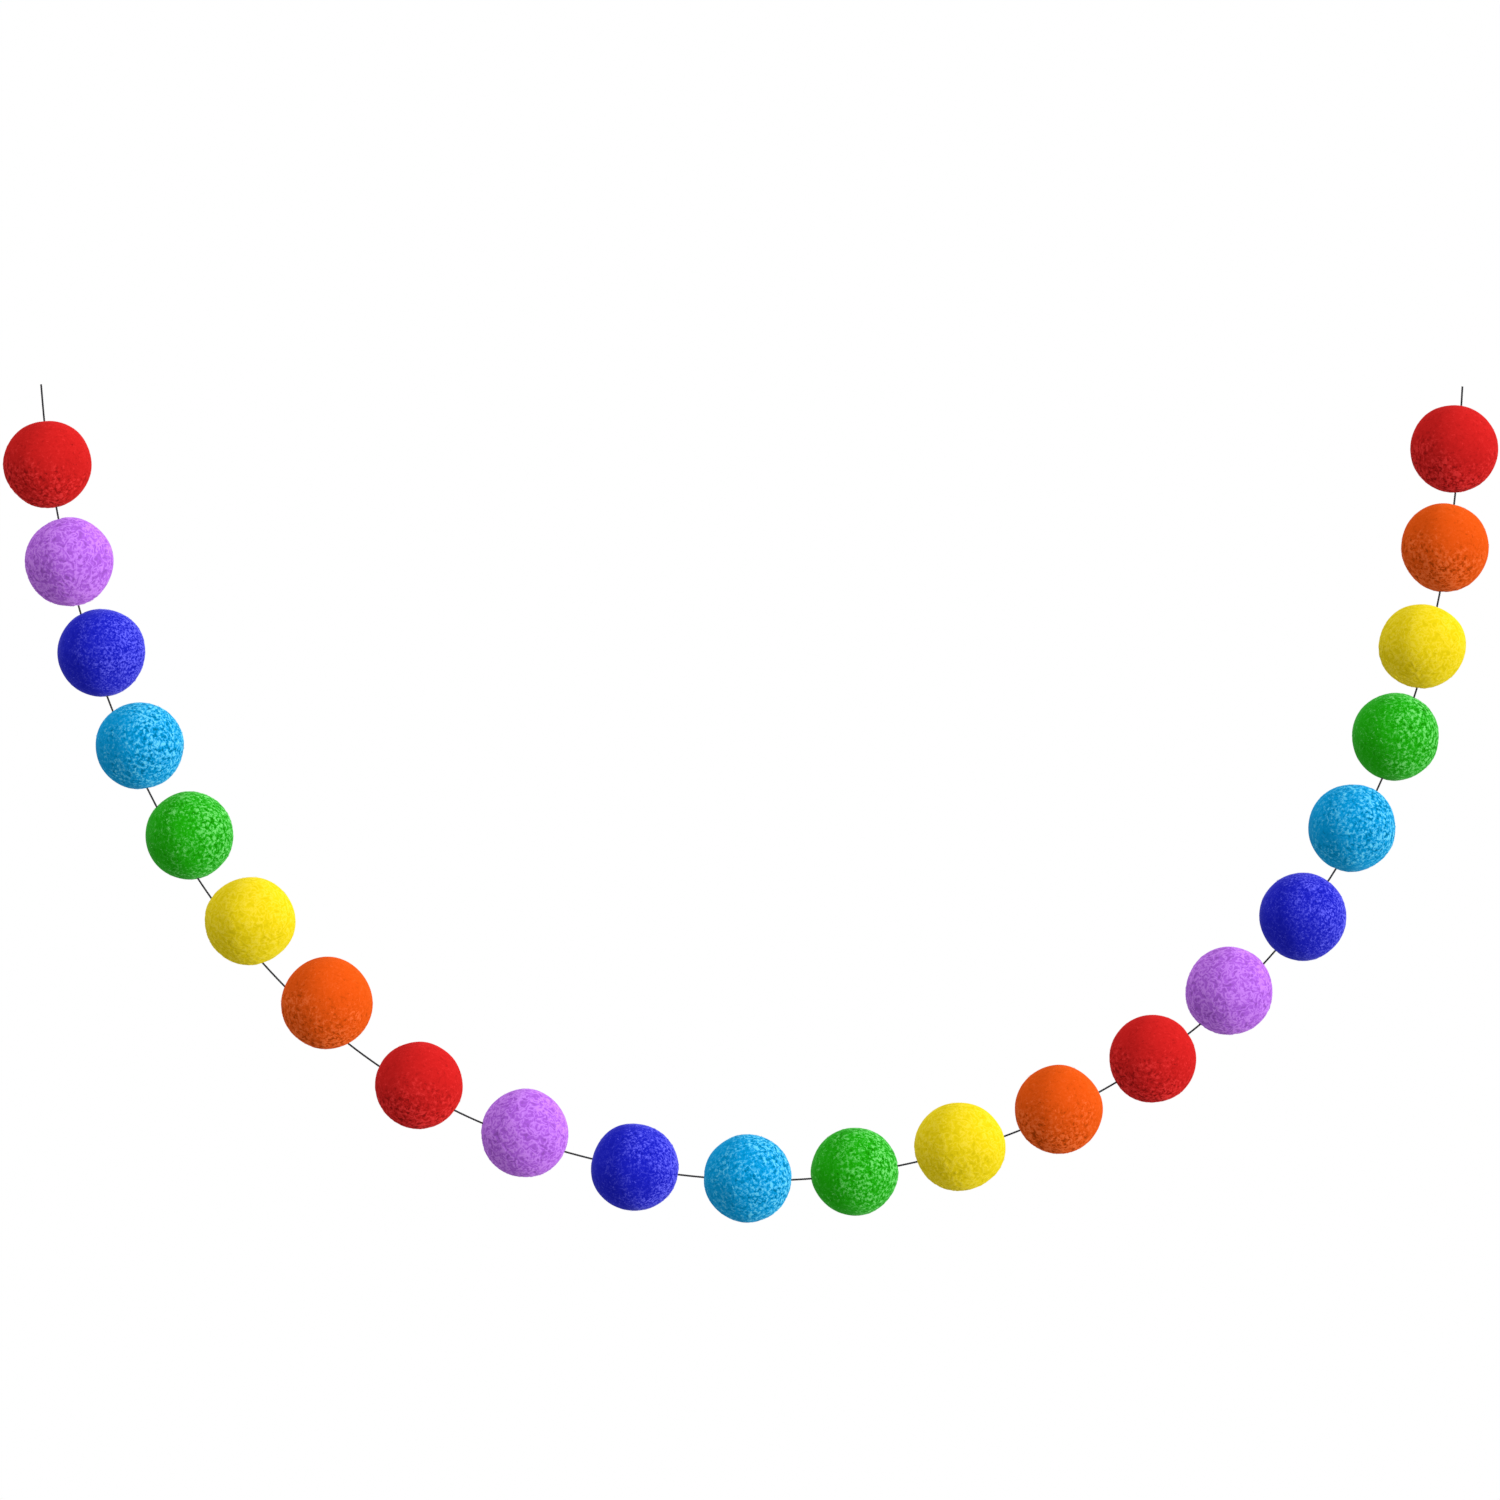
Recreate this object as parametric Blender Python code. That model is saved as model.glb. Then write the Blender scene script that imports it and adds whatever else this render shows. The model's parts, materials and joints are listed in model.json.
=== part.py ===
"""Felt ball garland: felted wool balls threaded on one thin string, hanging in a deep uneven curve.

Metres, +Z up. The origin is the left end of the string, where the garland is tied up. The string hangs
in the XZ plane, and every ball is bored along the string's own curve.
"""

import math
from collections import namedtuple

import bmesh
import bpy
from mathutils import Matrix, Vector, noise
from mathutils.geometry import interpolate_bezier

STRING_DIAMETER = 0.0008
STRING_BEVEL_RESOLUTION = 2
LINE_STEPS = 3

CHANNEL_CLEARANCE = 0.0003

BALL_SEGMENTS = 20
BALL_RINGS = 13
LUMP_HEIGHT = 0.0005
LUMPS_PER_RADIUS = 1.3
LUMP_SHIFT = Vector((3.7, 1.9, 5.3))
SMOOTH_ANGLE = math.radians(40)

RoutePoint = namedtuple("RoutePoint", "x z")

# The string's way, from its left end to its right end: one point in each gap between two balls,
# and one where it enters the first ball and leaves the last.
STRING_ROUTE = (
    RoutePoint(0.0000, 0.0000),
    RoutePoint(0.0015, -0.0170),
    RoutePoint(0.0075, -0.0590),
    RoutePoint(0.0175, -0.1025),
    RoutePoint(0.0315, -0.1460),
    RoutePoint(0.0505, -0.1885),
    RoutePoint(0.0745, -0.2300),
    RoutePoint(0.1065, -0.2700),
    RoutePoint(0.1475, -0.3065),
    RoutePoint(0.1950, -0.3345),
    RoutePoint(0.2450, -0.3520),
    RoutePoint(0.2965, -0.3615),
    RoutePoint(0.3475, -0.3630),
    RoutePoint(0.3955, -0.3560),
    RoutePoint(0.4435, -0.3420),
    RoutePoint(0.4870, -0.3210),
    RoutePoint(0.5265, -0.2945),
    RoutePoint(0.5610, -0.2615),
    RoutePoint(0.5895, -0.2240),
    RoutePoint(0.6110, -0.1830),
    RoutePoint(0.6275, -0.1410),
    RoutePoint(0.6380, -0.0985),
    RoutePoint(0.6455, -0.0520),
    RoutePoint(0.6485, -0.0095),
    RoutePoint(0.6490, -0.0010),
)

Ball = namedtuple("Ball", "x y z width height")

# Each ball's centre and size, from the left end of the string to the right. The string misses the
# middle of most balls by a little, as a needle does.
BALLS = (
    Ball(0.0030, 0.0005, -0.0365, 0.0400, 0.0400),
    Ball(0.0130, -0.0010, -0.0810, 0.0400, 0.0401),
    Ball(0.0275, 0.0010, -0.1225, 0.0400, 0.0400),
    Ball(0.0450, -0.0005, -0.1650, 0.0399, 0.0399),
    Ball(0.0675, 0.0015, -0.2060, 0.0400, 0.0399),
    Ball(0.0955, 0.0000, -0.2450, 0.0413, 0.0400),
    Ball(0.1305, -0.0015, -0.2825, 0.0416, 0.0419),
    Ball(0.1725, 0.0005, -0.3200, 0.0399, 0.0397),
    Ball(0.2210, 0.0010, -0.3420, 0.0399, 0.0401),
    Ball(0.2710, -0.0010, -0.3575, 0.0399, 0.0401),
    Ball(0.3225, 0.0000, -0.3625, 0.0401, 0.0403),
    Ball(0.3715, 0.0010, -0.3595, 0.0399, 0.0401),
    Ball(0.4195, -0.0005, -0.3480, 0.0414, 0.0402),
    Ball(0.4645, -0.0015, -0.3310, 0.0402, 0.0404),
    Ball(0.5075, 0.0005, -0.3080, 0.0398, 0.0400),
    Ball(0.5425, 0.0010, -0.2770, 0.0398, 0.0402),
    Ball(0.5760, -0.0010, -0.2430, 0.0398, 0.0401),
    Ball(0.5985, 0.0000, -0.2025, 0.0400, 0.0400),
    Ball(0.6185, 0.0015, -0.1610, 0.0398, 0.0400),
    Ball(0.6305, -0.0005, -0.1195, 0.0398, 0.0383),
    Ball(0.6410, 0.0005, -0.0745, 0.0401, 0.0406),
    Ball(0.6450, -0.0010, -0.0295, 0.0399, 0.0399),
)

Felt = namedtuple("Felt", "colour base")

# The wools, in the order in which the balls repeat along the string.
FELTS = (
    Felt("red", (0.66, 0.013, 0.017)),
    Felt("lavender", (0.46, 0.13, 0.77)),
    Felt("dark_blue", (0.027, 0.024, 0.60)),
    Felt("sky_blue", (0.020, 0.33, 0.71)),
    Felt("green", (0.030, 0.40, 0.018)),
    Felt("yellow", (0.85, 0.69, 0.014)),
    Felt("orange", (0.86, 0.10, 0.011)),
)
FELT_ROUGHNESS = 0.95

STRING_COLOUR = (0.055, 0.055, 0.060)
STRING_ROUGHNESS = 0.7


def clear_scene():
    """Remove every object, so that only the garland is left."""
    for item in list(bpy.data.objects):
        bpy.data.objects.remove(item, do_unlink=True)


def plain_material(name, colour, roughness):
    """A matt Principled material of one colour."""
    material = bpy.data.materials.new(name)
    material.use_nodes = True
    shader = material.node_tree.nodes["Principled BSDF"]
    shader.inputs["Base Color"].default_value = (*colour, 1.0)
    shader.inputs["Roughness"].default_value = roughness
    shader.inputs["Metallic"].default_value = 0.0
    return material


def smooth_line(route, steps):
    """Points on a smooth curve through the route, the same number for each of its stretches."""
    points = [Vector((point.x, 0.0, point.z)) for point in route]
    spans = [(end - start).length for start, end in zip(points, points[1:])]
    slopes = [(end - start) / span for start, end, span in zip(points, points[1:], spans)]
    tangents = [slopes[0]]
    for index in range(1, len(spans)):
        before, after = spans[index - 1], spans[index]
        tangents.append((slopes[index - 1] * after + slopes[index] * before) / (before + after))
    tangents.append(slopes[-1])
    line = []
    for index, span in enumerate(spans):
        start, end = points[index], points[index + 1]
        leaving = start + tangents[index] * span / 3
        arriving = end - tangents[index + 1] * span / 3
        line.extend(interpolate_bezier(start, leaving, arriving, end, steps + 1)[:-1])
    line.append(points[-1])
    return line


def tube(name, line, radius):
    """A closed round tube along a line."""
    data = bpy.data.curves.new(name, "CURVE")
    data.dimensions = "3D"
    data.bevel_depth = radius
    data.bevel_resolution = STRING_BEVEL_RESOLUTION
    data.use_fill_caps = True
    spline = data.splines.new("POLY")
    spline.points.add(len(line) - 1)
    for point, place in zip(spline.points, line):
        point.co = (*place, 1.0)
    item = bpy.data.objects.new(name, data)
    bpy.context.collection.objects.link(item)
    return item


def thread_channel(line):
    """The cutter that bores the balls: a tube on the string's own line, wider by the clearance."""
    guide = tube("thread_channel_line", line, STRING_DIAMETER / 2 + CHANNEL_CLEARANCE)
    evaluated = guide.evaluated_get(bpy.context.evaluated_depsgraph_get())
    mesh = bpy.data.meshes.new_from_object(evaluated)
    bpy.data.objects.remove(guide, do_unlink=True)
    outline = bmesh.new()
    outline.from_mesh(mesh)
    bmesh.ops.recalc_face_normals(outline, faces=outline.faces)
    outline.to_mesh(mesh)
    outline.free()
    cutter = bpy.data.objects.new("thread_channel", mesh)
    bpy.context.collection.objects.link(cutter)
    cutter.hide_render = True
    cutter.display_type = "WIRE"
    return cutter


def lump(direction, number):
    """How far the felt stands out in a direction: low, broad lumps, other ones on every ball."""
    return LUMP_HEIGHT * noise.noise(direction * LUMPS_PER_RADIUS + LUMP_SHIFT * number)


def felt_ball(name, number, ball, material, cutter):
    """One felted ball, a little out of round, bored where the string runs through it."""
    half_sizes = Vector((ball.width, (ball.width + ball.height) / 2, ball.height)) / 2
    surface = bmesh.new()
    bmesh.ops.create_uvsphere(
        surface,
        u_segments=BALL_SEGMENTS,
        v_segments=BALL_RINGS,
        radius=1.0,
        matrix=Matrix.Rotation(math.pi / 2, 4, "X"),
    )
    for vertex in surface.verts:
        direction = vertex.co.normalized()
        vertex.co = direction * half_sizes + direction * lump(direction, number)
    mesh = bpy.data.meshes.new(name)
    surface.to_mesh(mesh)
    surface.free()
    mesh.shade_smooth()
    mesh.set_sharp_from_angle(angle=SMOOTH_ANGLE)
    mesh.materials.append(material)
    item = bpy.data.objects.new(name, mesh)
    item.location = (ball.x, ball.y, ball.z)
    bpy.context.collection.objects.link(item)
    bore = item.modifiers.new("thread_bore", "BOOLEAN")
    bore.operation = "DIFFERENCE"
    bore.solver = "EXACT"
    bore.object = cutter
    return item


def main():
    """Build the string and thread the balls on it."""
    clear_scene()
    garland = bpy.data.objects.new("garland", None)
    bpy.context.collection.objects.link(garland)
    line = smooth_line(STRING_ROUTE, LINE_STEPS)
    string = tube("string", line, STRING_DIAMETER / 2)
    string.data.materials.append(plain_material("string", STRING_COLOUR, STRING_ROUGHNESS))
    string.parent = garland
    cutter = thread_channel(line)
    wools = [plain_material(f"felt_{felt.colour}", felt.base, FELT_ROUGHNESS) for felt in FELTS]
    for number, ball in enumerate(BALLS, start=1):
        kind = (number - 1) % len(FELTS)
        name = f"ball_{number:02d}_{FELTS[kind].colour}"
        item = felt_ball(name, number, ball, wools[kind], cutter)
        item.parent = garland


main()
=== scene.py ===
"""Felt ball garland: wet-felted wool balls threaded on one twisted thread that hangs in a deep curve.

Metres, +Z up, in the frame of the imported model: the origin is the left end of the thread.
"""

import json
import math
from collections import namedtuple

import bpy
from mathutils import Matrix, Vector, noise
from mathutils.geometry import interpolate_bezier

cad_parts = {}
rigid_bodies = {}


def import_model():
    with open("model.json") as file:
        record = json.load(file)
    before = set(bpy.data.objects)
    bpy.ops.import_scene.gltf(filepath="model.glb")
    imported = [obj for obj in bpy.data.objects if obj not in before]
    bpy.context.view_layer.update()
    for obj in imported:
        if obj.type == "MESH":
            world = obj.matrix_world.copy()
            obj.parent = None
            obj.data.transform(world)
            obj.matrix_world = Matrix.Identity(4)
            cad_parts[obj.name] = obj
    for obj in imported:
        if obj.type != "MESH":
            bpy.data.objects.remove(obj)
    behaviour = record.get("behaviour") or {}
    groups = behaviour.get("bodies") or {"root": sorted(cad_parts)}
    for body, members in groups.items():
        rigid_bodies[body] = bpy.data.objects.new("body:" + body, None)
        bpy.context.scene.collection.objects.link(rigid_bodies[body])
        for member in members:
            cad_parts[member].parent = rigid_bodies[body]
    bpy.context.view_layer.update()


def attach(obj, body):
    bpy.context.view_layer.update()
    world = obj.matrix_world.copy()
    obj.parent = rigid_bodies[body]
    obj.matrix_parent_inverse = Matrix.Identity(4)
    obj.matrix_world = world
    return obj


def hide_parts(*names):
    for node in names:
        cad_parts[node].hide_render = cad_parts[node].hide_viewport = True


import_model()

bl_info = {
    "name": "Felt Ball Garland",
    "version": (1, 0, 0),
    "blender": (4, 5, 0),
    "location": "3D View > Sidebar > Garland",
    "description": "Threads felted wool balls on a hanging thread and lights them like a product photo",
    "category": "Add Mesh",
}

BODY = "root"
THREAD_NODE = "string"
MM = 0.001

RoutePoint = namedtuple("RoutePoint", "x z")

# The thread's way, from its left end to its right end: one point in each gap between two balls,
# and one where it enters the first ball and leaves the last.
THREAD_ROUTE = (
    RoutePoint(0.0000, 0.0000),
    RoutePoint(0.0015, -0.0170),
    RoutePoint(0.0075, -0.0590),
    RoutePoint(0.0175, -0.1025),
    RoutePoint(0.0315, -0.1460),
    RoutePoint(0.0505, -0.1885),
    RoutePoint(0.0745, -0.2300),
    RoutePoint(0.1065, -0.2700),
    RoutePoint(0.1475, -0.3065),
    RoutePoint(0.1950, -0.3345),
    RoutePoint(0.2450, -0.3520),
    RoutePoint(0.2965, -0.3615),
    RoutePoint(0.3475, -0.3630),
    RoutePoint(0.3955, -0.3560),
    RoutePoint(0.4435, -0.3420),
    RoutePoint(0.4870, -0.3210),
    RoutePoint(0.5265, -0.2945),
    RoutePoint(0.5610, -0.2615),
    RoutePoint(0.5895, -0.2240),
    RoutePoint(0.6110, -0.1830),
    RoutePoint(0.6275, -0.1410),
    RoutePoint(0.6380, -0.0985),
    RoutePoint(0.6455, -0.0520),
    RoutePoint(0.6485, -0.0095),
    RoutePoint(0.6490, -0.0010),
)

Ball = namedtuple("Ball", "x y z width height")

# Each ball's centre and size, from the left end of the thread to the right. The thread misses the
# middle of most balls by a little, as a needle does.
BALLS = (
    Ball(0.0030, 0.0005, -0.0365, 0.0400, 0.0400),
    Ball(0.0130, -0.0010, -0.0810, 0.0400, 0.0401),
    Ball(0.0275, 0.0010, -0.1225, 0.0400, 0.0400),
    Ball(0.0450, -0.0005, -0.1650, 0.0399, 0.0399),
    Ball(0.0675, 0.0015, -0.2060, 0.0400, 0.0399),
    Ball(0.0955, 0.0000, -0.2450, 0.0413, 0.0400),
    Ball(0.1305, -0.0015, -0.2825, 0.0416, 0.0419),
    Ball(0.1725, 0.0005, -0.3200, 0.0399, 0.0397),
    Ball(0.2210, 0.0010, -0.3420, 0.0399, 0.0401),
    Ball(0.2710, -0.0010, -0.3575, 0.0399, 0.0401),
    Ball(0.3225, 0.0000, -0.3625, 0.0401, 0.0403),
    Ball(0.3715, 0.0010, -0.3595, 0.0399, 0.0401),
    Ball(0.4195, -0.0005, -0.3480, 0.0414, 0.0402),
    Ball(0.4645, -0.0015, -0.3310, 0.0402, 0.0404),
    Ball(0.5075, 0.0005, -0.3080, 0.0398, 0.0400),
    Ball(0.5425, 0.0010, -0.2770, 0.0398, 0.0402),
    Ball(0.5760, -0.0010, -0.2430, 0.0398, 0.0401),
    Ball(0.5985, 0.0000, -0.2025, 0.0400, 0.0400),
    Ball(0.6185, 0.0015, -0.1610, 0.0398, 0.0400),
    Ball(0.6305, -0.0005, -0.1195, 0.0398, 0.0383),
    Ball(0.6410, 0.0005, -0.0745, 0.0401, 0.0406),
    Ball(0.6450, -0.0010, -0.0295, 0.0399, 0.0399),
)

# Low, broad lumps of the solids, repeated here so that the felt has their form.
LUMP_HEIGHT = 0.5 * MM
LUMPS_PER_RADIUS = 1.3
LUMP_SHIFT = Vector((3.7, 1.9, 5.3))

Wool = namedtuple(
    "Wool", "name depth gain bloom grain speck lean strand tufts curls fuzz rough right low"
)

# The wools, in the order in which the balls repeat along the thread.
# depth: the painted shade in the hollows, as a share of the wool's colour.
# gain and bloom: the painted highlight on the crests is the wool's colour times gain, plus bloom.
# grain: width of a nub of curled wool, in millimetres.
# speck, strand and tufts: how much the nubs, the long curls and the locks show in the colour; the nubs
# and curls as painted shade in their hollows and painted highlight on their crests, the locks as tone
# that differs at random.
# lean: how far the nubs lean to the crests' painted highlight, the more so where the felt is rougher.
# curls: height of the long curls in millimetres.
# fuzz: how much fine pale down catches the light at the edge of a ball.
# rough: how rough the felt is, in relief and in colour. right and low: how much more so to the right and
# below, or to the left and above where they are under zero. Where right is over zero, the paler crests
# there are painted sheen on the lit right side.
WOOLS = (
    Wool(
        name="red", depth=0.50, gain=1.28, bloom=0.02, grain=1.8, speck=3.6, lean=0.01, strand=0.6,
        tufts=0.25, curls=0.10, fuzz=0.02, rough=0.32, right=-0.34, low=0.95,
    ),
    Wool(
        name="lavender", depth=0.72, gain=1.15, bloom=0.11, grain=1.6, speck=1.8, lean=0.00, strand=2.6,
        tufts=0.25, curls=0.25, fuzz=0.08, rough=0.75, right=-0.30, low=0.40,
    ),
    Wool(
        name="dark_blue", depth=0.50, gain=1.45, bloom=0.13, grain=1.1, speck=2.1, lean=0.06, strand=0.6,
        tufts=0.20, curls=0.15, fuzz=0.12, rough=0.50, right=0.75, low=0.00,
    ),
    Wool(
        name="sky_blue", depth=0.50, gain=1.45, bloom=0.15, grain=1.6, speck=3.0, lean=0.01, strand=0.6,
        tufts=0.35, curls=0.15, fuzz=0.05, rough=0.80, right=0.60, low=-0.10,
    ),
    Wool(
        name="green", depth=0.48, gain=1.26, bloom=0.17, grain=1.5, speck=2.9, lean=0.02, strand=0.6,
        tufts=0.35, curls=0.15, fuzz=0.12, rough=0.60, right=0.72, low=-0.12,
    ),
    Wool(
        name="yellow", depth=0.84, gain=1.05, bloom=0.04, grain=1.7, speck=2.0, lean=0.00, strand=2.0,
        tufts=0.10, curls=0.20, fuzz=0.03, rough=0.50, right=-0.35, low=0.80,
    ),
    Wool(
        name="orange", depth=0.55, gain=1.45, bloom=0.03, grain=1.9, speck=3.8, lean=0.02, strand=0.6,
        tufts=0.25, curls=0.10, fuzz=0.02, rough=0.32, right=-0.34, low=1.00,
    ),
)
NUB_HEIGHT = 0.20 * MM


def length_property(name, description, default):
    """A size that a user may change, in metres."""
    return bpy.props.FloatProperty(
        name=name, description=description, default=default, min=0.0, precision=5, unit="LENGTH"
    )


def colour_property(name, default):
    """A linear colour that a user may change."""
    return bpy.props.FloatVectorProperty(
        name=name,
        description=f"Colour of the {name.lower()}",
        default=default,
        min=0.0,
        max=1.0,
        size=3,
        subtype="COLOR",
    )


def light_property(name, default):
    """A lamp's strength that a user may change."""
    return bpy.props.FloatProperty(
        name=name, description="Watts per square metre", default=default, min=0.0
    )


class GarlandThread(bpy.types.PropertyGroup):
    """Sizes of the thread."""

    diameter: length_property("Diameter", "Thickness of the twisted thread", 0.8 * MM)
    twist: length_property("Twist", "Length of one full turn of the plies", 2.6 * MM)
    plies: bpy.props.IntProperty(name="Plies", description="Yarns in the thread", default=3, min=2)
    colour: colour_property("Thread", (0.022, 0.022, 0.025))


class GarlandFelt(bpy.types.PropertyGroup):
    """Sizes of the felt's surface."""

    curl_size: length_property("Curl size", "Width of a longer curl of wool", 3.2 * MM)
    fibre_size: length_property("Fibre size", "Width of a bundle of fibres", 0.7 * MM)
    patch_size: length_property("Patch size", "Width of a smoother or rougher patch", 13 * MM)
    hole: length_property("Hole", "Width of the hole that the needle left", 1.1 * MM)
    pucker_width: length_property("Pucker width", "Width of the dent at the thread", 5.0 * MM)
    pucker_depth: length_property("Pucker depth", "Depth of the dent at the thread", 0.6 * MM)
    locks: bpy.props.IntProperty(
        name="Locks", description="Short locks of wool that lie on each ball", default=900, min=0
    )
    stray_fibres: bpy.props.IntProperty(
        name="Stray fibres", description="Fine fibres that stand off each ball", default=90, min=0
    )


class GarlandWools(bpy.types.PropertyGroup):
    """Colours of the wools."""

    red: colour_property("Red wool", (0.67, 0.017, 0.016))
    lavender: colour_property("Lavender wool", (0.49, 0.140, 0.81))
    dark_blue: colour_property("Dark blue wool", (0.013, 0.017, 0.60))
    sky_blue: colour_property("Sky blue wool", (0.002, 0.38, 0.79))
    green: colour_property("Green wool", (0.015, 0.47, 0.004))
    yellow: colour_property("Yellow wool", (0.90, 0.715, 0.008))
    orange: colour_property("Orange wool", (0.84, 0.105, 0.007))


class GarlandStudio(bpy.types.PropertyGroup):
    """The camera, the lights and the floor."""

    camera_distance: length_property("Camera distance", "From the camera to the garland", 4.0)
    frame_width: length_property("Frame width", "What the photo's width spans at the garland", 0.6849)
    frame_middle_x: bpy.props.FloatProperty(
        name="Middle X", description="Middle of the picture", default=0.3237, unit="LENGTH"
    )
    frame_middle_z: bpy.props.FloatProperty(
        name="Middle Z", description="Middle of the picture", default=-0.1670, unit="LENGTH"
    )
    floor_drop: length_property("Floor", "How far the floor lies under the thread's end", 1.07)
    floor_radius: length_property("Floor radius", "Radius of the pale floor", 6.2)
    key: light_property("Key light", 2.15)
    top: light_property("Top light", 1.1)
    back: light_property("Back light", 1.6)
    sky: bpy.props.FloatProperty(name="Soft light", description="Light from all round", default=0.46)


class GarlandSettings(bpy.types.PropertyGroup):
    """All settings of the garland."""

    thread: bpy.props.PointerProperty(type=GarlandThread)
    felt: bpy.props.PointerProperty(type=GarlandFelt)
    wools: bpy.props.PointerProperty(type=GarlandWools)
    studio: bpy.props.PointerProperty(type=GarlandStudio)


def deselect_all():
    """Leave nothing selected, so that the next operator acts on its own piece alone."""
    if bpy.context.object is not None and bpy.context.object.mode != "OBJECT":
        bpy.ops.object.mode_set(mode="OBJECT")
    bpy.ops.object.select_all(action="DESELECT")


def select_only(item):
    """Make one object the active and only selected one."""
    deselect_all()
    item.select_set(True)
    bpy.context.view_layer.objects.active = item


def smooth_line(route, steps):
    """Points on a smooth curve through the route, the same number for each of its stretches."""
    points = [Vector((point.x, 0.0, point.z)) for point in route]
    spans = [(end - start).length for start, end in zip(points, points[1:])]
    slopes = [(end - start) / span for start, end, span in zip(points, points[1:], spans)]
    tangents = [slopes[0]]
    for index in range(1, len(spans)):
        before, after = spans[index - 1], spans[index]
        tangents.append((slopes[index - 1] * after + slopes[index] * before) / (before + after))
    tangents.append(slopes[-1])
    line = []
    for index, span in enumerate(spans):
        start, end = points[index], points[index + 1]
        leaving = start + tangents[index] * span / 3
        arriving = end - tangents[index + 1] * span / 3
        line.extend(interpolate_bezier(start, leaving, arriving, end, steps + 1)[:-1])
    line.append(points[-1])
    return line


def line_length(line):
    """Length of a line of points."""
    return sum((end - start).length for start, end in zip(line, line[1:]))


def even_line(line, step):
    """The line again, with its points evenly apart."""
    total = line_length(line)
    count = round(total / step)
    spacing = total / count
    points = [line[0].copy()]
    passed = 0.0
    for start, end in zip(line, line[1:]):
        span = (end - start).length
        while len(points) < count and passed + span >= spacing * len(points):
            points.append(start.lerp(end, (spacing * len(points) - passed) / span))
        passed += span
    points.append(line[-1].copy())
    return points


def round_tube(name, line, radius_at, sides):
    """A closed mesh tube along a line in the XZ plane. For a distance along the line and an angle
    round it, radius_at gives the radius there and the angle at which the point is set."""
    vertices = []
    travelled = 0.0
    across = Vector((0.0, -1.0, 0.0))
    for index, point in enumerate(line):
        before = line[max(index - 1, 0)]
        after = line[min(index + 1, len(line) - 1)]
        along = (after - before).normalized()
        up = along.cross(across)
        if index:
            travelled += (point - line[index - 1]).length
        for side in range(sides):
            radius, angle = radius_at(travelled, math.tau * side / sides)
            vertices.append(point + (across * math.cos(angle) + up * math.sin(angle)) * radius)
    faces = []
    for ring in range(len(line) - 1):
        first, second = ring * sides, (ring + 1) * sides
        for side in range(sides):
            following = (side + 1) % sides
            faces.append((first + side, first + following, second + following, second + side))
    faces.append(tuple(reversed(range(sides))))
    faces.append(tuple(range(len(vertices) - sides, len(vertices))))
    mesh = bpy.data.meshes.new(name)
    mesh.from_pydata(vertices, [], faces)
    mesh.shade_smooth()
    item = bpy.data.objects.new(name, mesh)
    bpy.context.collection.objects.link(item)
    select_only(item)
    bpy.ops.object.mode_set(mode="EDIT")
    bpy.ops.mesh.select_all(action="SELECT")
    bpy.ops.mesh.normals_make_consistent(inside=False)
    bpy.ops.object.mode_set(mode="OBJECT")
    return item


def new_material(name):
    """A new node material with its tree and its Principled shader."""
    material = bpy.data.materials.new(name)
    material.use_nodes = True
    tree = material.node_tree
    return material, tree, tree.nodes["Principled BSDF"]


def add_noise(tree, coordinates, size, detail=2.0, roughness=0.5, distortion=0.0, ridged=False):
    """A noise pattern of a given grain size in metres, in a material or in geometry nodes."""
    pattern = tree.nodes.new("ShaderNodeTexNoise")
    if ridged:
        pattern.noise_type = "RIDGED_MULTIFRACTAL"
        pattern.inputs["Offset"].default_value = 0.9
        pattern.inputs["Gain"].default_value = 1.6
    pattern.inputs["Scale"].default_value = 1 / size
    pattern.inputs["Detail"].default_value = detail
    pattern.inputs["Roughness"].default_value = roughness
    pattern.inputs["Distortion"].default_value = distortion
    tree.links.new(coordinates, pattern.inputs["Vector"])
    return pattern.outputs["Fac"]


def weigh(tree, parts, offset):
    """The sum of an offset and of each part times its weight. parts is [(socket, weight)]."""
    total = None
    for socket, weight in parts:
        node = tree.nodes.new("ShaderNodeMath")
        node.operation = "MULTIPLY_ADD"
        tree.links.new(socket, node.inputs[0])
        node.inputs[1].default_value = weight
        if total is None:
            node.inputs[2].default_value = offset
        else:
            tree.links.new(total, node.inputs[2])
        total = node.outputs[0]
    return total


def add_ramp(tree, factor, stops):
    """The colours that a pattern runs through. stops is [(position, colour)], from low to high."""
    ramp = tree.nodes.new("ShaderNodeValToRGB")
    elements = ramp.color_ramp.elements
    for element, (position, colour) in zip(elements, (stops[0], stops[-1])):
        element.position = position
        element.color = (*colour, 1.0)
    for position, colour in stops[1:-1]:
        elements.new(position).color = (*colour, 1.0)
    tree.links.new(factor, ramp.inputs["Fac"])
    return ramp.outputs["Color"]


def add_bump(tree, shader, height, strength, depth):
    """Fine relief in a material."""
    bump = tree.nodes.new("ShaderNodeBump")
    bump.inputs["Strength"].default_value = strength
    bump.inputs["Distance"].default_value = depth
    tree.links.new(height, bump.inputs["Height"])
    tree.links.new(bump.outputs["Normal"], shader.inputs["Normal"])


def stored(tree, name):
    """The node that reads an attribute of the mesh."""
    node = tree.nodes.new("ShaderNodeAttribute")
    node.attribute_name = name
    return node


def multiply(tree, first, second):
    """The product of two sockets."""
    node = tree.nodes.new("ShaderNodeMath")
    node.operation = "MULTIPLY"
    tree.links.new(first, node.inputs[0])
    tree.links.new(second, node.inputs[1])
    return node.outputs[0]


def nub_pattern(tree, coordinates, wool):
    """The nubs of curled wool. Relief and colour both read it, so that the crests are painted paler, as
    highlight, and the hollows darker, as shade.
    """
    return add_noise(tree, coordinates, wool.grain * MM, detail=4.0, roughness=0.65, distortion=0.5)


def curl_pattern(tree, coordinates, felt):
    """The longer, swirling curls of wool."""
    return add_noise(tree, coordinates, felt.curl_size, distortion=1.2, ridged=True)


# How strongly the felt's roughness changes from patch to patch, and the least that it comes to.
PATCHINESS = 1.6
LEAST_ROUGH = 0.12


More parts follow.
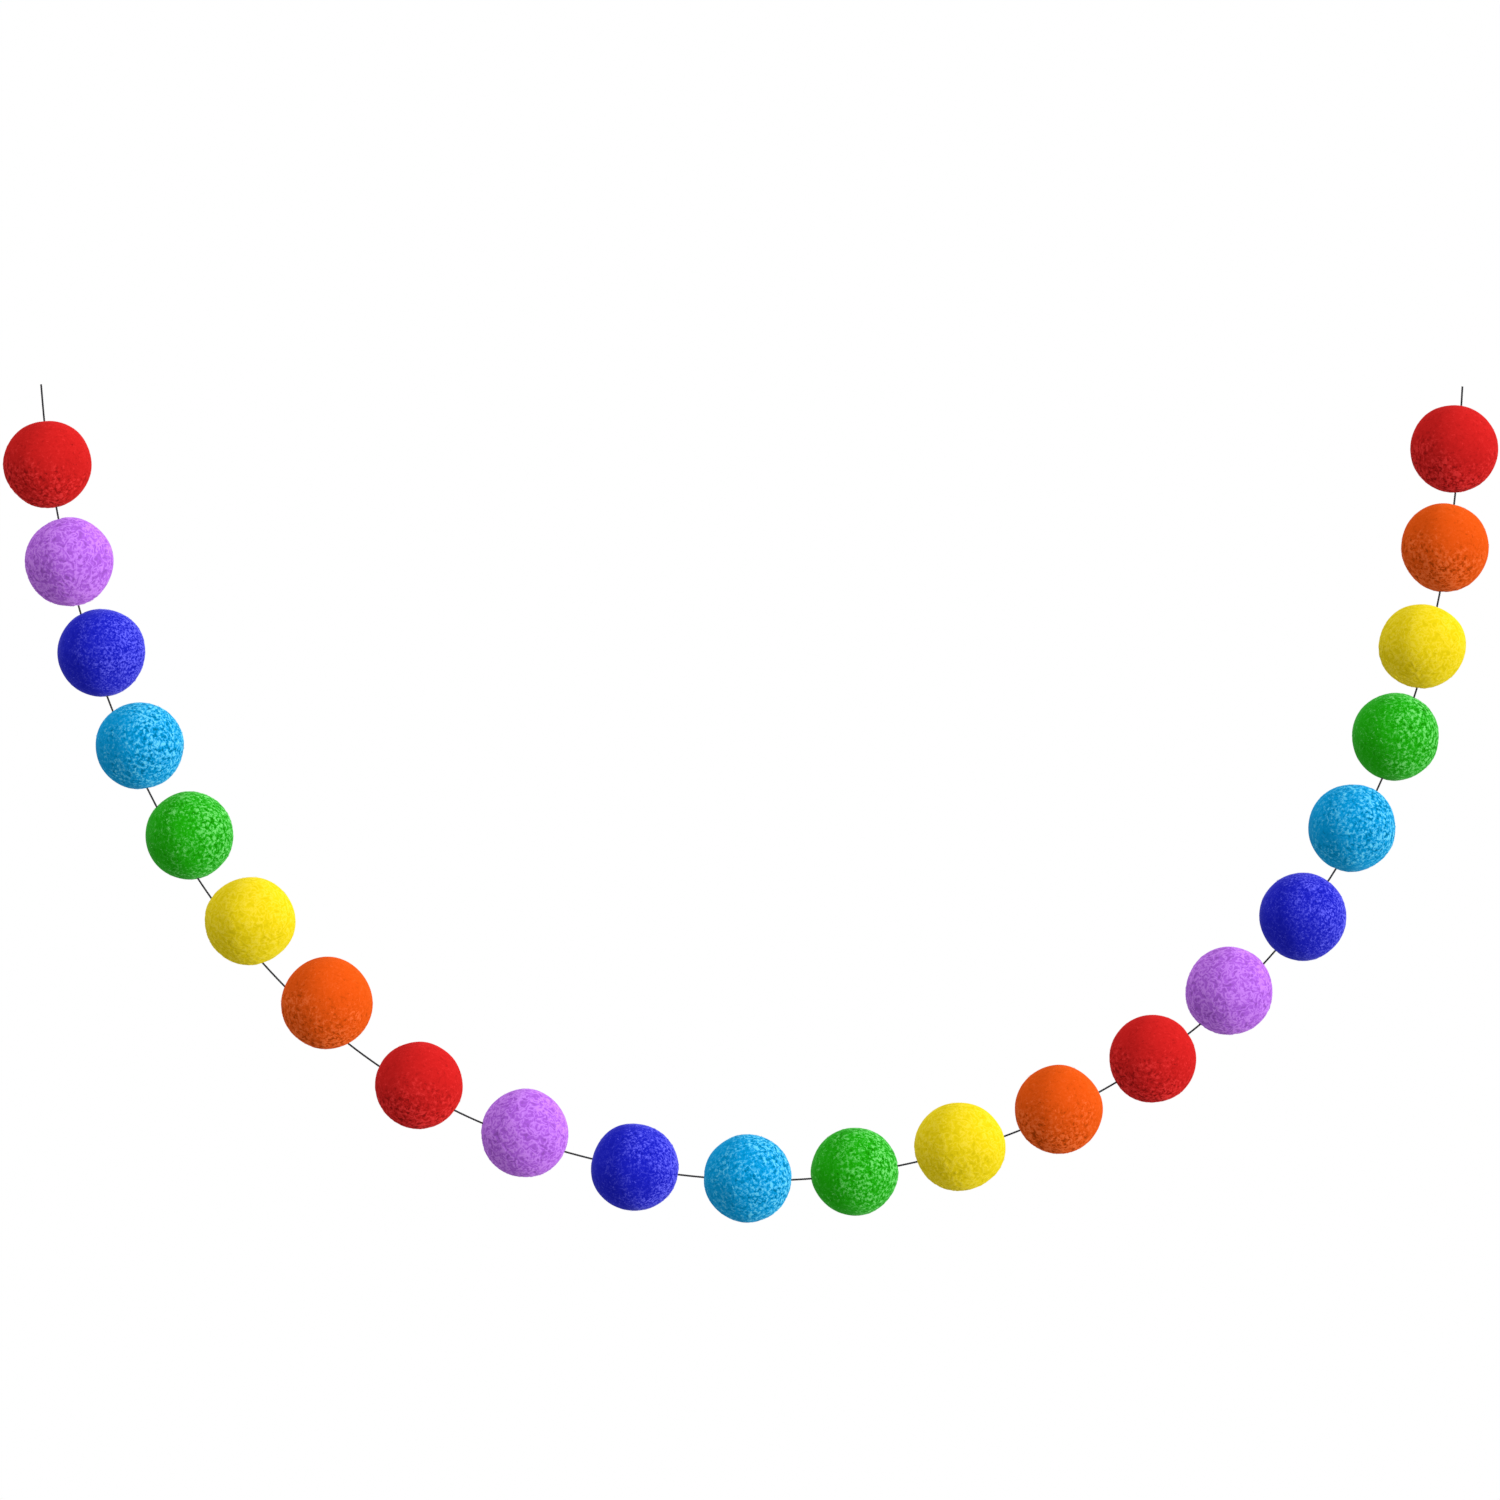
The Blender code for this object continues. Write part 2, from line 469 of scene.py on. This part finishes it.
def patch_pattern(tree, coordinates, from_middle, felt, wool):
    """Where the felt is smoother or rougher, in relief and in its painted shade and highlight: in
    patches, and more so on one side of the ball.
    """
    pattern = add_noise(tree, coordinates, felt.patch_size, detail=1.0)
    # The side on which the felt is rougher. On wools that are rougher to the right, the paler crests
    # there are painted sheen on the lit right side.
    side = tree.nodes.new("ShaderNodeVectorMath")
    side.operation = "DOT_PRODUCT"
    tree.links.new(from_middle, side.inputs[0])
    side.inputs[1].default_value = (wool.right, 0.0, -wool.low)
    rough = weigh(
        tree, [(side.outputs["Value"], 1.0), (pattern, PATCHINESS)], wool.rough - PATCHINESS / 2
    )
    least = tree.nodes.new("ShaderNodeMath")
    least.operation = "MAXIMUM"
    tree.links.new(rough, least.inputs[0])
    least.inputs[1].default_value = LEAST_ROUGH
    return least.outputs[0]


# How much the curls, times a wool's own strand, and the fibres show in the felt's tone, as painted shade
# where they are low and painted highlight where they are high.
CURL_SHOW = 0.25
FIBRE_SHOW = 0.6

# How high the specks and the fibres stand in the fine relief, as shares of its depth.
SPECK_BUMP = 0.4
FIBRE_BUMP = 0.5
BUMP_DEPTH = 0.2 * MM


def felt_tone(tree, felt, wool):
    """The felt's tone, from the painted shade of the hollows to the painted highlight of the crests,
    with the plain wool about the middle, and the height of its fine relief. The same patterns raise the
    relief and set the tone; only the locks' tones differ at random."""
    coordinates = tree.nodes.new("ShaderNodeTexCoord").outputs["Object"]
    nubs = nub_pattern(tree, coordinates, wool)
    curls = curl_pattern(tree, coordinates, felt)
    fibres = add_noise(tree, coordinates, felt.fibre_size, detail=3.0, distortion=2.5)
    from_middle = stored(tree, "from_middle").outputs["Vector"]
    patches = patch_pattern(tree, coordinates, from_middle, felt, wool)
    # The nubs, stronger where the felt is rougher: their crests are painted paler and their hollows
    # darker, and they also raise the fine relief.
    centred = weigh(tree, [(nubs, wool.speck)], (wool.lean - 0.5) * wool.speck)
    specks = multiply(tree, centred, patches)
    curl_show = CURL_SHOW * wool.strand
    parts = [
        (specks, 1.0),
        (curls, curl_show),
        (fibres, FIBRE_SHOW),
        (stored(tree, "tone").outputs["Fac"], wool.tufts),
    ]
    tone = weigh(tree, parts, 0.5 - 0.5 * curl_show - 0.5 * FIBRE_SHOW)
    relief = weigh(tree, [(specks, SPECK_BUMP), (fibres, FIBRE_BUMP)], 0.5)
    return tone, relief


# The tones at which the felt has each of its colours, from the painted shade of the hollows to the
# painted highlight of the crests, and the brightest that a painted highlight may be.
HOLLOW_SHADE_TONE = 0.12
WOOL_TONES = (0.5, 0.6)
CREST_HIGHLIGHT_TONE = 0.88
BRIGHTEST = 0.97


def felt_material(wool, settings):
    """Matt wool felt: painted shade in the hollows, painted highlights on the crests, strands and fine
    fibres.
    """
    colour = Vector(getattr(settings.wools, wool.name))
    # The painted shade of the hollows and the painted highlight of the crests.
    hollow_shade = colour * wool.depth
    crest_highlight = Vector(min(channel * wool.gain + wool.bloom, BRIGHTEST) for channel in colour)
    material, tree, shader = new_material(f"felt_{wool.name}")
    tone, relief = felt_tone(tree, settings.felt, wool)
    plain = [(position, colour) for position in WOOL_TONES]
    ramp = add_ramp(tree, tone, [(HOLLOW_SHADE_TONE, hollow_shade), *plain, (CREST_HIGHLIGHT_TONE, crest_highlight)])
    tree.links.new(ramp, shader.inputs["Base Color"])
    shader.inputs["Roughness"].default_value = 0.95
    shader.inputs["Diffuse Roughness"].default_value = 0.5
    shader.inputs["Specular IOR Level"].default_value = 0.0
    shader.inputs["Sheen Weight"].default_value = wool.fuzz
    shader.inputs["Sheen Roughness"].default_value = 0.35
    add_bump(tree, shader, relief, 0.6, BUMP_DEPTH)
    return material


SPUN_FIBRE = 0.3 * MM


def thread_material(settings):
    """Dark grey spun thread, painted darker where its fine relief is low, as shade between its fibres,
    and paler where it is high, as highlight.
    """
    colour = Vector(settings.thread.colour)
    material, tree, shader = new_material("thread")
    coordinates = tree.nodes.new("ShaderNodeTexCoord").outputs["Object"]
    fibres = add_noise(tree, coordinates, SPUN_FIBRE, detail=3.0, roughness=0.6)
    # Painted shade in the low places of the relief and painted highlight on the high ones.
    ramp = add_ramp(tree, fibres, [(0.3, colour * 0.6), (0.75, colour * 1.5)])
    tree.links.new(ramp, shader.inputs["Base Color"])
    shader.inputs["Roughness"].default_value = 0.7
    shader.inputs["Specular IOR Level"].default_value = 0.2
    add_bump(tree, shader, fibres, 0.4, 0.05 * MM)
    return material


LINE_STEPS = 24
THREAD_RING_STEP = 0.25 * MM
THREAD_SIDES = 12
PATH_STEP = 2 * MM

# The plies stand out from the thread's radius by LOOSE_SPIN, and rise and fall about that.
LOOSE_SPIN = 1.08
PLY_GROOVE = 0.12


class GARLAND_OT_thread(bpy.types.Operator):
    """Spin the thread along the garland's curve"""

    bl_idname = "garland.thread"
    bl_label = "Thread"

    def execute(self, context):
        settings = context.scene.felt_garland
        thread = settings.thread
        radius = thread.diameter / 2
        route = smooth_line(THREAD_ROUTE, LINE_STEPS)
        line = even_line(route, THREAD_RING_STEP)

        def plied(travelled, angle):
            lobe = LOOSE_SPIN + PLY_GROOVE * math.cos(thread.plies * angle)
            return radius * lobe, angle + math.tau * travelled / thread.twist

        item = round_tube("thread", line, plied, THREAD_SIDES)
        item.data.materials.append(thread_material(settings))
        [tuple(point) for point in even_line(route, PATH_STEP)]
        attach(item, BODY)
        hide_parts(THREAD_NODE)
        return {"FINISHED"}


BALL_SUBDIVISIONS = 6
CHANNEL_STEPS = 4
CHANNEL_SIDES = 10


def lump(direction, number):
    """How far the felt stands out in a direction: low, broad lumps, other ones on every ball."""
    return LUMP_HEIGHT * noise.noise(direction * LUMPS_PER_RADIUS + LUMP_SHIFT * number)


def rolled_ball(name, number, ball):
    """The plain wool ball, a little out of round, with its place in its mesh."""
    centre = Vector((ball.x, ball.y, ball.z))
    half_sizes = Vector((ball.width, (ball.width + ball.height) / 2, ball.height)) / 2
    deselect_all()
    bpy.ops.mesh.primitive_ico_sphere_add(
        subdivisions=BALL_SUBDIVISIONS, radius=half_sizes.x, location=centre
    )
    item = bpy.context.object
    item.name = name
    item.data.name = name
    bpy.ops.object.transform_apply(location=True, rotation=True, scale=True)
    for vertex in item.data.vertices:
        direction = (vertex.co - centre).normalized()
        vertex.co = centre + direction * half_sizes + direction * lump(direction, number)
    return item


def pucker(item, ball, line, felt):
    """Draw the felt in where the thread enters and leaves the ball, which is where its line
    crosses the ball's radius."""
    centre = Vector((ball.x, ball.y, ball.z))
    radius = ball.width / 2
    reach = felt.pucker_width / 2
    for start, end in zip(line, line[1:]):
        inside = (start - centre).length < radius
        if inside == ((end - centre).length < radius):
            continue
        inwards = (end - start).normalized() if not inside else (start - end).normalized()
        spot = centre + ((start + end) / 2 - centre).normalized() * radius
        for vertex in item.data.vertices:
            distance = (vertex.co - spot).length
            if distance < reach:
                share = 1 - distance / reach
                vertex.co += inwards * felt.pucker_depth * share * share * (3 - 2 * share)


def bore(item, cutter):
    """Cut the thread's hole through the selected ball."""
    modifier = item.modifiers.new("thread_bore", "BOOLEAN")
    modifier.operation = "DIFFERENCE"
    modifier.solver = "EXACT"
    modifier.object = cutter
    bpy.ops.object.modifier_apply(modifier="thread_bore")


def use_group(item, name, group):
    """Put a geometry node group on an object and apply it."""
    modifier = item.modifiers.new(name, "NODES")
    modifier.node_group = group
    select_only(item)
    bpy.ops.object.modifier_apply(modifier=name)


def geometry_group(name):
    """An empty geometry node group with its input and output nodes."""
    tree = bpy.data.node_groups.new(name, "GeometryNodeTree")
    tree.interface.new_socket("Geometry", in_out="INPUT", socket_type="NodeSocketGeometry")
    tree.interface.new_socket("Geometry", in_out="OUTPUT", socket_type="NodeSocketGeometry")
    start = tree.nodes.new("NodeGroupInput")
    end = tree.nodes.new("NodeGroupOutput")
    return tree, start.outputs[0], end.inputs[0]


def direction_from(tree, position, centre):
    """The direction of each point from a centre."""
    away = tree.nodes.new("ShaderNodeVectorMath")
    away.operation = "SUBTRACT"
    tree.links.new(position, away.inputs[0])
    away.inputs[1].default_value = centre
    unit = tree.nodes.new("ShaderNodeVectorMath")
    unit.operation = "NORMALIZE"
    tree.links.new(away.outputs["Vector"], unit.inputs[0])
    return unit.outputs["Vector"]


def relief_group(number, ball, wool, felt):
    """Raises the nubs and curls of a ball's wool along the surface's normals."""
    tree, source, target = geometry_group(f"relief_{number:02d}")
    position = tree.nodes.new("GeometryNodeInputPosition").outputs["Position"]
    from_middle = direction_from(tree, position, (ball.x, ball.y, ball.z))
    nubs = nub_pattern(tree, position, wool)
    curls = curl_pattern(tree, position, felt)
    patches = patch_pattern(tree, position, from_middle, felt, wool)
    nub_height = 2 * NUB_HEIGHT
    curl_height = wool.curls * MM
    height = weigh(
        tree, [(nubs, nub_height), (curls, curl_height)], -0.5 * nub_height - 0.5 * curl_height
    )
    offset = tree.nodes.new("ShaderNodeVectorMath")
    offset.operation = "SCALE"
    tree.links.new(tree.nodes.new("GeometryNodeInputNormal").outputs["Normal"], offset.inputs[0])
    tree.links.new(multiply(tree, height, patches), offset.inputs["Scale"])
    move = tree.nodes.new("GeometryNodeSetPosition")
    tree.links.new(source, move.inputs["Geometry"])
    tree.links.new(offset.outputs["Vector"], move.inputs["Offset"])
    tree.links.new(move.outputs["Geometry"], target)
    return tree


# Where the random node has its least and greatest value and its result, for each kind of value.
RANDOM_SOCKETS = {"FLOAT_VECTOR": (0, 1, 0), "FLOAT": (2, 3, 1)}


def random_value(tree, kind, low, high, seed):
    """A random number or vector for each point."""
    node = tree.nodes.new("FunctionNodeRandomValue")
    node.data_type = kind
    least, greatest, result = RANDOM_SOCKETS[kind]
    node.inputs[least].default_value = low
    node.inputs[greatest].default_value = high
    node.inputs["Seed"].default_value = seed
    return node.outputs[result]


LOCK_CLEARANCE = 2.0 * MM
STRAND_SIZES = (0.7, 1.3)
SEEDS_PER_SCATTER = 5


def scatter(tree, source, shapes, count, ball_area, tilt, tones, thread, seed):
    """Lays copies of the shapes on the surface away from the thread, each turned and sized at
    random, and stores a random tone for each."""
    near = tree.nodes.new("GeometryNodeProximity")
    held = tree.nodes.new("GeometryNodeObjectInfo")
    held.inputs["Object"].default_value = thread
    tree.links.new(held.outputs["Geometry"], near.inputs["Geometry"])
    clear = tree.nodes.new("FunctionNodeCompare")
    clear.inputs["B"].default_value = LOCK_CLEARANCE
    tree.links.new(near.outputs["Distance"], clear.inputs["A"])
    points = tree.nodes.new("GeometryNodeDistributePointsOnFaces")
    points.inputs["Density"].default_value = count / ball_area
    points.inputs["Seed"].default_value = seed
    tree.links.new(source, points.inputs["Mesh"])
    tree.links.new(clear.outputs["Result"], points.inputs["Selection"])
    kinds = tree.nodes.new("GeometryNodeCollectionInfo")
    kinds.inputs["Collection"].default_value = shapes
    kinds.inputs["Separate Children"].default_value = True
    kinds.inputs["Reset Children"].default_value = True
    copies = tree.nodes.new("GeometryNodeInstanceOnPoints")
    copies.inputs["Pick Instance"].default_value = True
    tree.links.new(points.outputs["Points"], copies.inputs["Points"])
    tree.links.new(points.outputs["Rotation"], copies.inputs["Rotation"])
    tree.links.new(kinds.outputs["Instances"], copies.inputs["Instance"])
    size = random_value(tree, "FLOAT", *STRAND_SIZES, seed + 1)
    tree.links.new(size, copies.inputs["Scale"])
    turned = tree.nodes.new("GeometryNodeRotateInstances")
    tree.links.new(copies.outputs["Instances"], turned.inputs["Instances"])
    turn = random_value(
        tree, "FLOAT_VECTOR", (-tilt, -tilt, 0.0), (tilt, tilt, math.tau), seed + 2
    )
    tree.links.new(turn, turned.inputs["Rotation"])
    toned = tree.nodes.new("GeometryNodeStoreNamedAttribute")
    toned.domain = "INSTANCE"
    toned.inputs["Name"].default_value = "tone"
    tree.links.new(turned.outputs["Instances"], toned.inputs["Geometry"])
    tree.links.new(random_value(tree, "FLOAT", *tones, seed + 3), toned.inputs["Value"])
    real = tree.nodes.new("GeometryNodeRealizeInstances")
    tree.links.new(toned.outputs["Geometry"], real.inputs["Geometry"])
    return real.outputs["Geometry"]


LOCK_TILT = math.radians(3)
FIBRE_TILT = math.radians(14)
LOCK_TONES = (-1.0, 1.0)
# Stray fibres are only ever paler than the wool: partly paler strands, partly painted light that offsets
# the shade on their sides turned from the lamps.
FIBRE_TONES = (0.0, 1.2)


def wool_group(number, ball, felt, thread, locks, fibres):
    """Covers a ball with short locks of wool and a few stray fibres, and stores each point's
    direction from the ball's middle. The ball is smooth, and the locks and fibres keep flat faces."""
    tree, source, target = geometry_group(f"wool_{number:02d}")
    base = tree.nodes.new("GeometryNodeStoreNamedAttribute")
    base.inputs["Name"].default_value = "tone"
    base.inputs["Value"].default_value = 0.0
    tree.links.new(source, base.inputs["Geometry"])
    smooth = tree.nodes.new("GeometryNodeSetShadeSmooth")
    tree.links.new(base.outputs["Geometry"], smooth.inputs["Geometry"])
    joined = tree.nodes.new("GeometryNodeJoinGeometry")
    seed = number * 2 * SEEDS_PER_SCATTER
    area = math.pi * ball.width * ball.height
    lying = scatter(tree, source, locks, felt.locks, area, LOCK_TILT, LOCK_TONES, thread, seed)
    seed += SEEDS_PER_SCATTER
    standing = scatter(
        tree, source, fibres, felt.stray_fibres, area, FIBRE_TILT, FIBRE_TONES, thread, seed
    )
    for part in (standing, lying, smooth.outputs["Geometry"]):
        tree.links.new(part, joined.inputs["Geometry"])
    turned = tree.nodes.new("GeometryNodeStoreNamedAttribute")
    turned.data_type = "FLOAT_VECTOR"
    turned.inputs["Name"].default_value = "from_middle"
    position = tree.nodes.new("GeometryNodeInputPosition").outputs["Position"]
    away = direction_from(tree, position, (ball.x, ball.y, ball.z))
    tree.links.new(away, turned.inputs["Value"])
    tree.links.new(joined.outputs["Geometry"], turned.inputs["Geometry"])
    tree.links.new(turned.outputs["Geometry"], target)
    return tree


# A station is a place on a strand: forward and sideways are shares of the strand's length, up is a
# share of its arch, and size is a share of its thickness.
Station = namedtuple("Station", "forward sideways up size")

STRAND_SIDES = 3


def wool_strand(name, strand, stations, material):
    """A strand of wool with three sides and pointed ends. It starts as a triangle at its first
    point, is extruded through its stations, and lies along X with its middle over the origin."""
    width, height, arch, length = strand
    deselect_all()
    bpy.ops.mesh.primitive_circle_add(
        vertices=STRAND_SIDES,
        radius=width / 2,
        fill_type="NGON",
        rotation=(-math.pi / 2, 0.0, math.pi / 2),
    )
    item = bpy.context.object
    item.name = name
    bpy.ops.object.transform_apply(location=True, rotation=True, scale=True)
    bpy.ops.object.mode_set(mode="EDIT")
    bpy.ops.mesh.select_all(action="SELECT")
    bpy.ops.transform.resize(value=(1.0, 1.0, height / width))
    first = stations[0]
    bpy.ops.transform.translate(
        value=(first.forward * length, first.sideways * length, first.up * arch)
    )
    for before, after in zip(stations, stations[1:]):
        step = (
            (after.forward - before.forward) * length,
            (after.sideways - before.sideways) * length,
            (after.up - before.up) * arch,
        )
        bpy.ops.mesh.extrude_region_move(TRANSFORM_OT_translate={"value": step})
        scale = after.size / before.size
        bpy.ops.transform.resize(value=(scale, scale, scale))
    bpy.ops.mesh.merge(type="CENTER")
    bpy.ops.object.mode_set(mode="OBJECT")
    for vertex in item.data.vertices:
        vertex.select = vertex.index < STRAND_SIDES
    bpy.ops.object.mode_set(mode="EDIT")
    bpy.ops.mesh.merge(type="CENTER")
    bpy.ops.mesh.select_all(action="SELECT")
    bpy.ops.mesh.normals_make_consistent(inside=False)
    bpy.ops.object.mode_set(mode="OBJECT")
    item.data.materials.append(material)
    return item


LOCK_STATIONS = {
    "bow": (
        Station(-0.50, 0.00, -0.55, 1.0),
        Station(-0.18, 0.10, 0.05, 1.0),
        Station(0.20, 0.08, 0.05, 1.0),
        Station(0.50, -0.06, -0.55, 1.0),
    ),
    "hook": (
        Station(-0.45, -0.12, -0.55, 1.0),
        Station(-0.20, 0.08, 0.10, 1.0),
        Station(0.12, 0.14, 0.10, 1.0),
        Station(0.30, -0.10, -0.55, 1.0),
    ),
    "wave": (
        Station(-0.55, -0.06, -0.55, 1.0),
        Station(-0.20, 0.09, 0.05, 0.9),
        Station(0.22, -0.09, 0.05, 0.9),
        Station(0.55, 0.06, -0.55, 0.9),
    ),
}


Strand = namedtuple("Strand", "width height arch length")

LOCK = Strand(0.50 * MM, 0.15 * MM, 0.10 * MM, 2.4 * MM)
FIBRE = Strand(0.08 * MM, 0.08 * MM, 0.45 * MM, 4.0 * MM)


def strand_kinds(name, strand, material):
    """A collection with one strand of each kind, out of which the scatter picks."""
    kinds = bpy.data.collections.new(name)
    for kind, stations in LOCK_STATIONS.items():
        item = wool_strand(f"{name}_{kind}", strand, stations, material)
        bpy.context.collection.objects.unlink(item)
        kinds.objects.link(item)
    return kinds


def discard(kinds):
    """Remove the strands that were only copied from."""
    for item in list(kinds.objects):
        bpy.data.objects.remove(item, do_unlink=True)
    bpy.data.collections.remove(kinds)


class GARLAND_OT_felt_balls(bpy.types.Operator):
    """Felt the wool balls and bore each one where the thread runs through it"""

    bl_idname = "garland.felt_balls"
    bl_label = "Felt balls"

    def execute(self, context):
        settings = context.scene.felt_garland
        felt = settings.felt
        thread = bpy.data.objects["thread"]
        route = smooth_line(THREAD_ROUTE, CHANNEL_STEPS)
        fine_route = smooth_line(THREAD_ROUTE, LINE_STEPS)

        def hole(travelled, angle):
            return felt.hole / 2, angle

        cutter = round_tube("thread_channel", route, hole, CHANNEL_SIDES)
        materials = [felt_material(wool, settings) for wool in WOOLS]
        locks = [
            strand_kinds(f"lock_{wool.name}", LOCK, material)
            for wool, material in zip(WOOLS, materials)
        ]
        fibres = [
            strand_kinds(f"fibre_{wool.name}", FIBRE, material)
            for wool, material in zip(WOOLS, materials)
        ]
        for number, ball in enumerate(BALLS, start=1):
            kind = (number - 1) % len(WOOLS)
            wool = WOOLS[kind]
            node = f"ball_{number:02d}_{wool.name}"
            item = rolled_ball(f"felt_{number:02d}_{wool.name}", number, ball)
            item.data.materials.append(materials[kind])
            pucker(item, ball, fine_route, felt)
            use_group(item, "relief", relief_group(number, ball, wool, felt))
            bore(item, cutter)
            use_group(
                item, "wool", wool_group(number, ball, felt, thread, locks[kind], fibres[kind])
            )
            # The photo shows no colour thrown from one ball onto the next.
            item.visible_diffuse = False
            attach(item, BODY)
            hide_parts(node)
        bpy.data.objects.remove(cutter, do_unlink=True)
        for kinds in locks + fibres:
            discard(kinds)
        return {"FINISHED"}


SENSOR_WIDTH = 36.0


class GARLAND_OT_camera(bpy.types.Operator):
    """Set up the camera square to the garland, framed as in the photo"""

    bl_idname = "garland.camera"
    bl_label = "Camera"

    def execute(self, context):
        studio = context.scene.felt_garland.studio
        deselect_all()
        bpy.ops.object.camera_add(
            location=(studio.frame_middle_x, -studio.camera_distance, studio.frame_middle_z),
            rotation=(math.pi / 2, 0.0, 0.0),
        )
        camera = context.object
        camera.name = "camera"
        camera.data.sensor_width = SENSOR_WIDTH
        camera.data.lens = SENSOR_WIDTH * studio.camera_distance / studio.frame_width
        context.scene.camera = camera
        return {"FINISHED"}


# The lamps, in degrees. An azimuth is measured from the camera's side of the garland, to the right.
Sun = namedtuple("Sun", "name azimuth elevation spread")

KEY = Sun("key", 60, 5, 20)
TOP = Sun("top", -10, 68, 40)
BACK = Sun("back", 180, 20, 40)


def add_sun(sun, strength):
    """A wide soft lamp without shadows."""
    azimuth, elevation = math.radians(sun.azimuth), math.radians(sun.elevation)
    towards = Vector(
        (
            math.sin(azimuth) * math.cos(elevation),
            -math.cos(azimuth) * math.cos(elevation),
            math.sin(elevation),
        )
    )
    deselect_all()
    bpy.ops.object.light_add(type="SUN", rotation=towards.to_track_quat("Z", "Y").to_euler())
    lamp = bpy.context.object
    lamp.name = sun.name
    lamp.data.energy = strength
    lamp.data.angle = math.radians(sun.spread)
    lamp.data.use_shadow = False


FLOOR_SIDES = 96
FLOOR_PATCH = 0.4
FLOOR_GREYS = (0.86, 0.92)


def pale_floor_material():
    """Plain pale floor, faintly uneven."""
    material, tree, shader = new_material("pale_floor")
    coordinates = tree.nodes.new("ShaderNodeTexCoord").outputs["Object"]
    grain = add_noise(tree, coordinates, FLOOR_PATCH)
    darker, paler = FLOOR_GREYS
    ramp = add_ramp(tree, grain, [(0.0, [darker] * 3), (1.0, [paler] * 3)])
    tree.links.new(ramp, shader.inputs["Base Color"])
    shader.inputs["Roughness"].default_value = 0.8
    return material


def white_room(scene, strength):
    """A world that is white to the camera and gives an even soft light of the strength."""
    world = bpy.data.worlds.new("white_room")
    world.use_nodes = True
    tree = world.node_tree
    soft = tree.nodes["Background"]
    soft.inputs["Color"].default_value = (1.0, 1.0, 1.0, 1.0)
    soft.inputs["Strength"].default_value = strength
    seen = tree.nodes.new("ShaderNodeBackground")
    seen.inputs["Color"].default_value = (1.0, 1.0, 1.0, 1.0)
    seen.inputs["Strength"].default_value = 1.0
    either = tree.nodes.new("ShaderNodeMixShader")
    path = tree.nodes.new("ShaderNodeLightPath")
    tree.links.new(path.outputs["Is Camera Ray"], either.inputs[0])
    tree.links.new(soft.outputs["Background"], either.inputs[1])
    tree.links.new(seen.outputs["Background"], either.inputs[2])
    tree.links.new(either.outputs["Shader"], tree.nodes["World Output"].inputs["Surface"])
    scene.world = world


class GARLAND_OT_stage(bpy.types.Operator):
    """Set up the soft lights, the white room and the pale floor"""

    bl_idname = "garland.stage"
    bl_label = "Stage"

    def execute(self, context):
        studio = context.scene.felt_garland.studio
        add_sun(KEY, studio.key)
        add_sun(TOP, studio.top)
        add_sun(BACK, studio.back)
        white_room(context.scene, studio.sky)
        deselect_all()
        bpy.ops.mesh.primitive_circle_add(
            vertices=FLOOR_SIDES,
            radius=studio.floor_radius,
            fill_type="NGON",
            location=(studio.frame_middle_x, 0.0, -studio.floor_drop),
        )
        floor = context.object
        floor.name = "pale_floor"
        bpy.ops.object.transform_apply(location=True, rotation=True, scale=True)
        floor.data.materials.append(pale_floor_material())
        # The white room alone lights the balls from below.
        floor.visible_diffuse = False
        context.scene.view_settings.view_transform = "Standard"
        return {"FINISHED"}


class GARLAND_PT_panel(bpy.types.Panel):
    """The garland's steps and settings"""

    bl_idname = "GARLAND_PT_panel"
    bl_label = "Felt Ball Garland"
    bl_space_type = "VIEW_3D"
    bl_region_type = "UI"
    bl_category = "Garland"

    def draw(self, context):
        settings = context.scene.felt_garland
        for step in STEPS:
            self.layout.operator(step.bl_idname)
        for group in (settings.thread, settings.felt, settings.wools, settings.studio):
            box = self.layout.box()
            for name in group.__annotations__:
                box.prop(group, name)


STEPS = (GARLAND_OT_camera, GARLAND_OT_thread, GARLAND_OT_felt_balls, GARLAND_OT_stage)
CLASSES = (
    GarlandThread,
    GarlandFelt,
    GarlandWools,
    GarlandStudio,
    GarlandSettings,
    *STEPS,
    GARLAND_PT_panel,
)


def register():
    """Add the garland's settings, steps and panel to Blender."""
    for item in CLASSES:
        bpy.utils.register_class(item)
    bpy.types.Scene.felt_garland = bpy.props.PointerProperty(type=GarlandSettings)


def unregister():
    """Take them out again."""
    del bpy.types.Scene.felt_garland
    for item in reversed(CLASSES):
        bpy.utils.unregister_class(item)


def main():
    """Make the garland and its studio."""
    register()
    bpy.ops.garland.camera()
    bpy.ops.garland.thread()
    bpy.ops.garland.felt_balls()
    bpy.ops.garland.stage()


if __name__ == "__main__":
    main()
